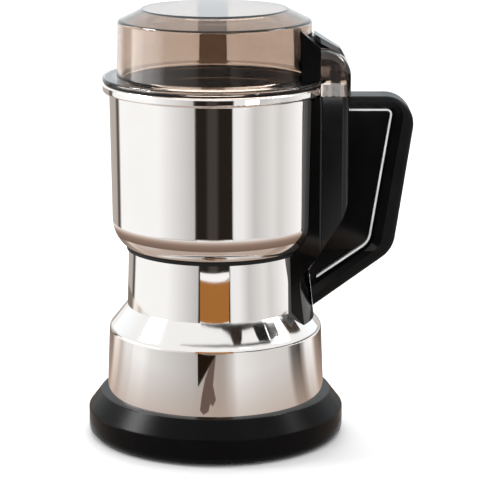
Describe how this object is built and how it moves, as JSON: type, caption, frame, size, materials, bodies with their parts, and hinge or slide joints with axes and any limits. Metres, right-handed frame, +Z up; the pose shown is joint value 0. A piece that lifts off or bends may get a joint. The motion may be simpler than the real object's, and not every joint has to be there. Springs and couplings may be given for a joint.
{
  "type": "electric spice grinder",
  "caption": "Upright electric spice grinder: polished steel bowl and motor housing, black side handle, smoked clear lift-off lid with a slanted press key.",
  "frame": {"origin": "on the motor's upright axis, at the surface that the rubber feet stand on", "axes": "+Z up along the motor's axis, +X towards the handle, +Y towards the cord inlet at the rear"},
  "size_m": [0.1513, 0.122, 0.2006],
  "materials": {
    "black_moulding": "satin",
    "black_gloss": "gloss",
    "grip_soft": "matte",
    "rubber": "matte",
    "zinc_screws": "satin",
    "polished_steel": "mirror polished",
    "cast_alloy": "as cast",
    "bronze": "sintered",
    "brass": "satin",
    "laminations": "varnished",
    "copper_wire": "enamelled",
    "copper_bars": "turned",
    "carbon": "matte",
    "ground_steel": "ground",
    "blade_steel": "brushed",
    "fan_plastic": "matte",
    "seal_plastic": "satin",
    "bright_trim": "bright",
    "switch_plastic": "satin",
    "spring_wire": "bright",
    "smoked_clear": "clear smoked gloss",
    "terminal_plastic": "satin"
  },
  "bodies": {
    "grinder": {"base_ring": "black_moulding", "base_plate": "black_moulding", "rubber_feet": "rubber", "base_screws": "zinc_screws", "cord_gland": "rubber", "motor_housing": "polished_steel", "bowl": "polished_steel", "neck_seal": "rubber", "upper_bracket": "cast_alloy", "upper_bush": "bronze", "lower_bracket": "cast_alloy", "lower_bush": "bronze", "housing_screws": "zinc_screws", "stator_core": "laminations", "field_coils": "copper_wire", "motor_bolts": "zinc_screws", "brush_holders": "brass", "carbon_brushes": "carbon", "bowl_screws": "ground_steel", "bowl_bush": "seal_plastic", "column_back": "black_gloss", "bowl_studs": "ground_steel", "stud_nuts": "zinc_screws", "foot_screws": "zinc_screws", "handle_body": "black_gloss", "seam_screws": "zinc_screws", "handle_grip": "grip_soft", "handle_web": "black_moulding", "handle_trim": "bright_trim", "micro_switch": "switch_plastic", "switch_screws": "zinc_screws", "plunger_spring": "spring_wire", "terminal_block": "terminal_plastic"},
    "rotor": {"motor_shaft": "ground_steel", "armature_core": "laminations", "armature_winding": "copper_wire", "commutator": "copper_bars", "cooling_fan": "fan_plastic", "blade": "blade_steel", "blade_collar": "seal_plastic", "blade_nut": "blade_steel"},
    "lid_cover": {"lid": "smoked_clear", "lid_seal": "rubber", "key_housing": "black_gloss", "key_spring": "spring_wire"},
    "key": {"press_key": "black_gloss"},
    "plunger": {"switch_plunger": "seal_plastic"}
  },
  "joints": [
    {"name": "rotor_spin", "type": "hinge", "parent": "grinder", "child": "rotor", "pos_m": [0, 0, 0.05], "axis": [0, 0, 1], "continuous": true},
    {"name": "lid_lift", "type": "slide", "parent": "grinder", "child": "lid_cover", "axis": [0, 0, 1], "range_m": [0, 0.045]},
    {"name": "key_press", "type": "slide", "parent": "lid_cover", "child": "key", "axis": [0, 0, -1], "range_m": [0, 0.0025], "stiffness_N_per_m": 500, "springref_m": -0.002, "deforming": ["key_spring"]},
    {"name": "plunger_press", "type": "slide", "parent": "grinder", "child": "plunger", "axis": [0, 0, -1], "range_m": [0, 0.0025], "stiffness_N_per_m": 300, "springref_m": -0.002, "deforming": ["plunger_spring"]}
  ],
  "couplings": [
    {"joint": "plunger_press", "follows": "key_press", "ratio": 1}
  ]
}
